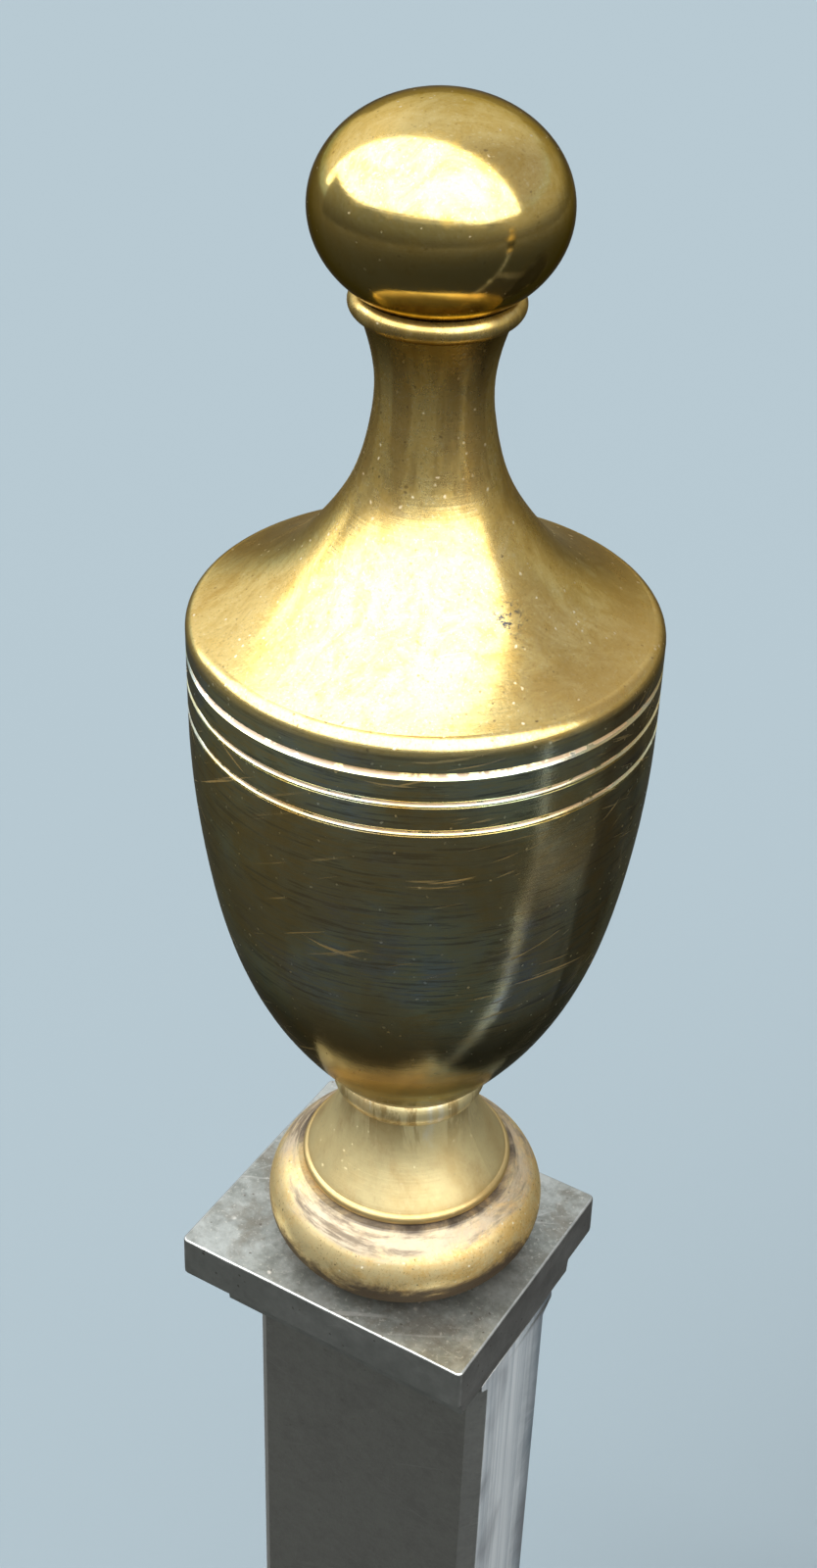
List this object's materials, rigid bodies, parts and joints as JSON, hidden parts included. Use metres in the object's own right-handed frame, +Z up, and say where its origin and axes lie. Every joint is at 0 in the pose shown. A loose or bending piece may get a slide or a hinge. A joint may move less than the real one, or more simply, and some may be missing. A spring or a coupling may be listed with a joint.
{
  "type": "fire basket",
  "caption": "Open fire basket for a hearth: steel posts topped by grooved brass urn finials, barred front and sides, cast back plate and a lift-out bottom grate.",
  "frame": {"origin": "on the hearth, under the middle of the overall box", "axes": "+Z up, +X to the right as seen from the front, -Y out of the front towards the room"},
  "size_m": [0.5488, 0.34, 0.6485],
  "materials": {
    "aged_brass": "polished, aged",
    "polished_steel": "worn polish",
    "cast_iron": "blackened",
    "fixing_steel": "plain"
  },
  "bodies": {
    "basket": {"apron": "polished_steel", "apron_rivets": "aged_brass", "back_plate": "cast_iron", "back_plate_bolts": "fixing_steel", "back_plate_nuts": "fixing_steel", "front_bar_lower": "polished_steel", "front_bar_second": "polished_steel", "front_bar_third": "polished_steel", "front_bar_top": "polished_steel", "front_rail": "polished_steel", "left_bar_pins": "fixing_steel", "left_cap_moulding": "polished_steel", "left_cap_plate": "polished_steel", "left_plinth": "polished_steel", "left_plinth_screw": "fixing_steel", "left_post": "polished_steel", "left_rear_leg": "polished_steel", "left_side_bar_lower": "polished_steel", "left_side_bar_middle": "polished_steel", "left_side_bar_top": "polished_steel", "left_stud": "fixing_steel", "rear_bearer": "cast_iron", "right_bar_pins": "fixing_steel", "right_cap_moulding": "polished_steel", "right_cap_plate": "polished_steel", "right_plinth": "polished_steel", "right_plinth_screw": "fixing_steel", "right_post": "polished_steel", "right_rear_leg": "polished_steel", "right_side_bar_lower": "polished_steel", "right_side_bar_middle": "polished_steel", "right_side_bar_top": "polished_steel", "right_stud": "fixing_steel"},
    "grate": {"grate": "cast_iron"},
    "left_ring": {"left_foot_ring": "aged_brass"},
    "left_urn": {"left_urn_cup": "aged_brass", "left_urn_lid": "aged_brass", "left_urn_ball": "aged_brass"},
    "right_ring": {"right_foot_ring": "aged_brass"},
    "right_urn": {"right_urn_cup": "aged_brass", "right_urn_lid": "aged_brass", "right_urn_ball": "aged_brass"}
  },
  "joints": [
    {"name": "grate_lift", "type": "slide", "parent": "basket", "child": "grate", "axis": [0, 0, 1], "range_m": [0, 0.19]},
    {"name": "left_finial_turn", "type": "hinge", "parent": "basket", "child": "left_ring", "pos_m": [-0.24, -0.1356, 0.45], "axis": [0, 0, 1], "range_deg": [0, 1440]},
    {"name": "left_finial_rise", "type": "slide", "parent": "left_ring", "child": "left_urn", "axis": [0, 0, 1], "range_m": [0, 0.006]},
    {"name": "right_finial_turn", "type": "hinge", "parent": "basket", "child": "right_ring", "pos_m": [0.24, -0.1356, 0.45], "axis": [0, 0, 1], "range_deg": [0, 1440]},
    {"name": "right_finial_rise", "type": "slide", "parent": "right_ring", "child": "right_urn", "axis": [0, 0, 1], "range_m": [0, 0.006]}
  ],
  "couplings": [
    {"joint": "left_finial_rise", "follows": "left_finial_turn", "m_per_rad": 0.00023873},
    {"joint": "right_finial_rise", "follows": "right_finial_turn", "m_per_rad": 0.00023873}
  ]
}
